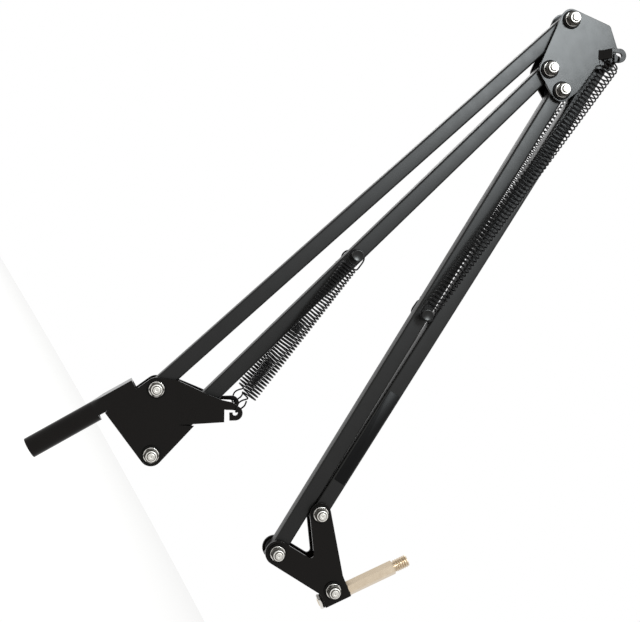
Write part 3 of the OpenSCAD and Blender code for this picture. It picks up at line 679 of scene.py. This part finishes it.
def spring_centreline(length, leg, curls):
    """Points of the wire along X, with Y the way out from the tube: a drop shaped loop
    through the ear's hook at 0, the coil as (x, COIL_R cos a, COIL_R sin a) with an even
    pitch, its radius growing in over half a turn, and a ring that hangs PIN_PLAY off the
    pin's far side, which leaves it room to close up."""
    ring_x = length - (COIL_R - WIRE_R - PIN_R - PIN_PLAY)
    coil_end = ring_x - COIL_R - 1.0
    bend = np.radians(np.linspace(-90, 90, 9))
    seat = np.stack([HOOK_BEND * (1 - np.cos(bend)), HOOK_BEND * np.sin(bend), 0.9 * np.sin(bend)],
                    axis=1)
    strand = np.array([[HOOK_BEND + 1.2, HOOK_BEND + 0.1, 1.9],
                       [0.5 * leg, HOOK_BEND + 0.2, 2.7], [leg - 3.0, HOOK_BEND, 1.6]])
    loose = strand[::-1] * [1, -1, -1] + [0.8, 0.9, 0.5]
    turns = curls - 0.25
    a = np.linspace(-0.35, 2 * np.pi * turns, int(turns * 24))
    grow = np.clip((a + 0.35) / np.pi, 0, 1)
    grow = grow * grow * (3 - 2 * grow)
    r = HOOK_BEND + 0.6 + (COIL_R - HOOK_BEND - 0.6) * grow
    coil = np.stack([leg + (coil_end - leg) * a / a[-1], r * np.cos(a), r * np.sin(a)], axis=1)
    lead = np.array([[coil_end + 1.0, 0.9, -COIL_R], [ring_x - 2.5, 0.5, -COIL_R]])
    b = np.radians(np.linspace(-90, 215, 34))
    ring = np.stack([ring_x + COIL_R * np.cos(b), -0.35 * np.linspace(-1, 1, 34),
                     COIL_R * np.sin(b)], axis=1)
    path = np.concatenate([loose, seat, strand, coil, lead, ring])
    return evenly(path, 0.8, 3)


def wire(path, radius, sides):
    """A round wire along a path, radius times (cos a, sin a) in two directions across it.
    The first is the way crossed with a fixed direction; its twist against the next one,
    after the turn that takes one way to the next, is summed along the path and undone."""
    way = np.gradient(path, axis=0)
    way /= np.linalg.norm(way, axis=1)[:, None]
    first = np.cross(way, [0.80, 0.48, 0.36])
    first /= np.linalg.norm(first, axis=1)[:, None]
    axle = np.cross(way[:-1], way[1:])
    cosine = np.sum(way[:-1] * way[1:], axis=1)[:, None]
    carried = (first[:-1] * cosine + np.cross(axle, first[:-1])
               + axle * np.sum(axle * first[:-1], axis=1)[:, None] / (1 + cosine))
    second = np.cross(way, first)
    step = np.arctan2(np.sum(carried * second[1:], axis=1), np.sum(carried * first[1:], axis=1))
    twist = np.concatenate([[0], np.cumsum(step)])
    a = np.linspace(0, 2 * np.pi, sides, endpoint=False)[None, :, None] + twist[:, None, None]
    points = path[:, None] + radius * (np.cos(a) * first[:, None] + np.sin(a) * second[:, None])
    rows, columns = points.shape[:2]
    walls = [list(f) for f in grid_faces(rows, columns, False, True)]
    ends = [list(range(columns))[::-1], list(range((rows - 1) * columns, rows * columns))]
    return points, [f[::-1] for f in walls] + [f[::-1] for f in ends]


def spring(hook, hook_depth, pin, leg, curls, side):
    """The spring's points put between its seat, HOOK_ROOM from the hook's centre, and its
    pin. It leans from the hook's depth to SPRING_DEPTH at the pin."""
    way = (pin - hook) / np.linalg.norm(pin - hook)
    seat = hook + HOOK_ROOM * way
    span = np.linalg.norm(pin - seat)
    lean = np.arctan2(hook_depth - SPRING_DEPTH, span)
    points, faces = wire(spring_centreline(span / np.cos(lean), leg, curls), WIRE_R, 8)
    x, y, z = points[..., 0], points[..., 1], points[..., 2]
    along = x * np.cos(lean) + y * np.sin(lean)
    out = hook_depth - x * np.sin(lean) + y * np.cos(lean)
    placed = np.stack([seat[0] + way[0] * along - way[1] * z, side * out,
                       seat[1] + way[1] * along + way[0] * z], axis=-1)
    return placed, faces if side > 0 else [f[::-1] for f in faces]


spring_wire = plated_metal("spring_wire", (0.006, 0.006, 0.006), (0.014, 0.014, 0.015), 0.32,
                           metal=0.0, scratch=1500.0, specular=0.12)
LOWER = ("lower_springs", LOWER_PIN, 11.5, 48)
UPPER = ("upper_springs", UPPER_PIN, 6.6, 68)
SPRINGS = (("lower_coil_front", "lower_spring_front", NEAR_HOOK, SPRING_DEPTH, LOWER, -1),
           ("lower_coil_back", "lower_spring_back", FAR_HOOK, SPRING_DEPTH, LOWER, 1),
           ("upper_coil_front", "upper_spring_front", KNEE_HOOK, KNEE_SEAT_DEPTH, UPPER, -1),
           ("upper_coil_back", "upper_spring_back", KNEE_HOOK, KNEE_SEAT_DEPTH, UPPER, 1))
for name, node, hook, hook_depth, (body, pin_at, leg, curls), side in SPRINGS:
    coil = make_piece(name, [spring(hook, hook_depth, pin_at, leg, curls, side)], spring_wire, 80.0)
    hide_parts(node)
    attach(coil, body)
    if body == "upper_springs":
        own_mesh(coil)


# Swivel block
# A block of square steel bar between the head's plates, turning on the third bolt, its
# edges broken. The stud passes through it lengthwise. Blackened with the plates.
LEAN = np.radians(6.2)
BLOCK_W, BLOCK_H, BLOCK_HALF = 14.65, 17.8, 6.1
STUD_OFF, BLOCK_EDGE = 5.85, 3.35
BLOCK_LEFT = STUD_OFF - BLOCK_W + BLOCK_EDGE
BLOCK_LOW = -BLOCK_H / 2 + 0.55
BLOCK_TOP = BLOCK_LOW + BLOCK_H


def on_swivel(points):
    """Points drawn with the stud along Z, leant by LEAN about the swivel's bolt."""
    x, y, z = points[..., 0], points[..., 1], points[..., 2]
    return np.stack([SWIVEL[0] + x * np.cos(LEAN) + z * np.sin(LEAN), y,
                     SWIVEL[1] - x * np.sin(LEAN) + z * np.cos(LEAN)], axis=-1)


def slab(outline, y0, y1, edge):
    """A plate between two depths: its outline, counter-clockwise in X and Z, is set in by
    edge (1 - sin q) at a depth edge (1 - cos q) from each face, so its rims are round.
    A corner moves along the sum of its two sides' normals over 1 + their cosine."""
    ahead = np.roll(outline, -1, axis=0) - outline
    ahead /= np.linalg.norm(ahead, axis=1)[:, None]
    out_ahead = np.stack([ahead[:, 1], -ahead[:, 0]], axis=1)
    out_back = np.roll(out_ahead, 1, axis=0)
    mitre = (out_ahead + out_back) / (1 + np.sum(out_ahead * out_back, axis=1))[:, None]
    q = np.radians(np.linspace(0, 90, 4))
    inset = np.concatenate([edge * (1 - np.sin(q)), edge * (1 - np.cos(q))])
    depth = np.concatenate([y0 + edge * (1 - np.cos(q)), y1 - edge * (1 - np.sin(q))])
    flat = outline[None] - mitre[None] * inset[:, None, None]
    points = np.stack([flat[..., 0], np.broadcast_to(depth[:, None], flat.shape[:2]),
                       flat[..., 1]], axis=-1)
    return points, facing(points)


def rounded_box(x0, x1, z0, z1, radius, steps=5):
    """Outline of a rectangle with round corners, counter-clockwise."""
    a = np.radians(np.arange(4)[:, None] * 90 + np.linspace(0, 90, steps)[None, :])
    middle = np.array([[x1 - radius, z1 - radius], [x0 + radius, z1 - radius],
                       [x0 + radius, z0 + radius], [x1 - radius, z0 + radius]])
    return np.stack([middle[:, :1] + radius * np.cos(a), middle[:, 1:] + radius * np.sin(a)],
                    axis=-1).reshape(-1, 2)


block_points, block_faces = slab(
    rounded_box(BLOCK_LEFT, BLOCK_LEFT + BLOCK_W, BLOCK_LOW, BLOCK_TOP, 0.5),
    -BLOCK_HALF, BLOCK_HALF, 0.5)
block = make_piece("pivot_block", [(on_swivel(block_points), block_faces)], bracket_paint)
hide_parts("swivel_block")
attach(block, "stud")


# Threaded stud
# Hexagonal steel bar, 8 mm across flats, turned down to a thread for the microphone clip
# at its end and to a tail that the block holds. Plated in a warm, pale zinc.
STUD_HEX, STUD_THREAD, STUD_FLATS = 32.4, 10.0, 8.0
STUD_R, TAIL_R = 4.0, 2.5
STUD_PITCH = 1.5
STUD_TURN = 51
TAIL_LOW = BLOCK_LOW - 3.0


def threaded_stud():
    """Rings about Z whose radius may differ by angle: a plain tail, the hexagon with both
    ends turned off at 30 degrees, a narrow neck, and a thread of radius
    STUD_R - 0.7 |saw(z / pitch - a / turn)| that runs out at a chamfer."""
    sides = 96
    a = np.linspace(0, 2 * np.pi, sides, endpoint=False)
    one = np.ones(sides)
    h = np.roll(hexagon_radius(STUD_FLATS, sides), round(STUD_TURN / 360 * sides))
    face = one * STUD_FLATS / 2 * 0.97
    cut = (h - face) * np.tan(np.radians(30))
    top = BLOCK_TOP + STUD_HEX
    rings = [(one * 0.3, one * TAIL_LOW), (one * 2.1, one * TAIL_LOW),
             (one * TAIL_R, one * (TAIL_LOW + 0.4)), (one * TAIL_R, one * BLOCK_TOP),
             (face, one * (BLOCK_TOP + 0.02)), (h, BLOCK_TOP + 0.02 + cut), (h, top - cut),
             (face, one * top), (one * 3.25, one * (top + 0.02)), (one * 3.25, one * (top + 0.5))]
    z = np.linspace(top + 0.6, top + STUD_THREAD, 80)
    saw = np.abs(((z[:, None] / STUD_PITCH - a / (2 * np.pi)) % 1.0) * 2 - 1)
    end = np.clip((top + STUD_THREAD - z) / 0.9, 0, 1)[:, None]
    start = np.clip((z - top - 0.6) / 0.5, 0, 1)[:, None]
    crest = 3.25 + (STUD_R - 3.25) * np.minimum(start, 0.15 + 0.85 * end)
    wall = crest - 0.62 * np.clip(saw * 1.35 - 0.25, 0, 1) * np.minimum(start, end)
    radii = np.concatenate([np.array([r for r, d in rings]), wall, [one * 0.3]])
    height = np.concatenate([np.array([d for r, d in rings]), np.repeat(z[:, None], sides, 1),
                             [one * (top + STUD_THREAD)]])
    points = np.stack([STUD_OFF + radii * np.cos(a), radii * np.sin(a), height], axis=-1)
    return on_swivel(points), facing(points)


stud_plate = plated_metal("stud_plate", (0.56, 0.46, 0.34), (0.66, 0.56, 0.43), 0.24)
stud = make_piece("clip_stud", [threaded_stud()], stud_plate, 30.0)
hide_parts("threaded_stud")
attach(stud, "stud")


# Washer and nut on the stud's tail
# A split spring washer, blackened, and a thin nickel plated nut, which clamp the stud in
# the block.
coat("stud_washer", black_oxide)
TAIL_NUT_H, TAIL_NUT_FLATS, TAIL_WASHER_T = 1.8, 9.0, 0.8
thin = hexagon_block((0.0, 0.0), 0.0, TAIL_NUT_H, TAIL_NUT_FLATS, TAIL_R)
thin = np.stack([STUD_OFF + thin[..., 0], thin[..., 2],
                 BLOCK_LOW - TAIL_WASHER_T - TAIL_NUT_H + thin[..., 1]], axis=-1)
thin_faces = grid_faces(*thin.shape[:2], True, True)[:, ::-1]
thin_nut = make_piece("tail_nut", [(on_swivel(thin), thin_faces)], nickel, 30.0)
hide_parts("stud_nut")
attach(thin_nut, "stud")


# Blank label
# A strip of black film on the upper link tube's front, with round corners, left bare.
LABEL_LEN, LABEL_W, LABEL_T, LABEL_AT = 66.0, 7.6, 0.15, 22.5
film_way = (LINK_HEAD - LINK_UPPER) / np.linalg.norm(LINK_HEAD - LINK_UPPER)
film_points, film_faces = slab(
    rounded_box(-LABEL_AT - LABEL_LEN, -LABEL_AT, -LABEL_W / 2, LABEL_W / 2, 0.8),
    -TUBE / 2 - LABEL_T, -TUBE / 2 + 0.01, 0.05)
x, z = film_points[..., 0], film_points[..., 2]
film_points = np.stack([LINK_HEAD[0] + film_way[0] * x - film_way[1] * z, film_points[..., 1],
                        LINK_HEAD[1] + film_way[1] * x + film_way[0] * z], axis=-1)
label_film = powder_coat("label_film", (0.0040, 0.0040, 0.0042), (0.0060, 0.0060, 0.0064),
                         0.36, 0.10, 2400.0, 90.0)
label = make_piece("blank_label", [(film_points, film_faces)], label_film)
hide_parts("label")
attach(label, "upper_link")
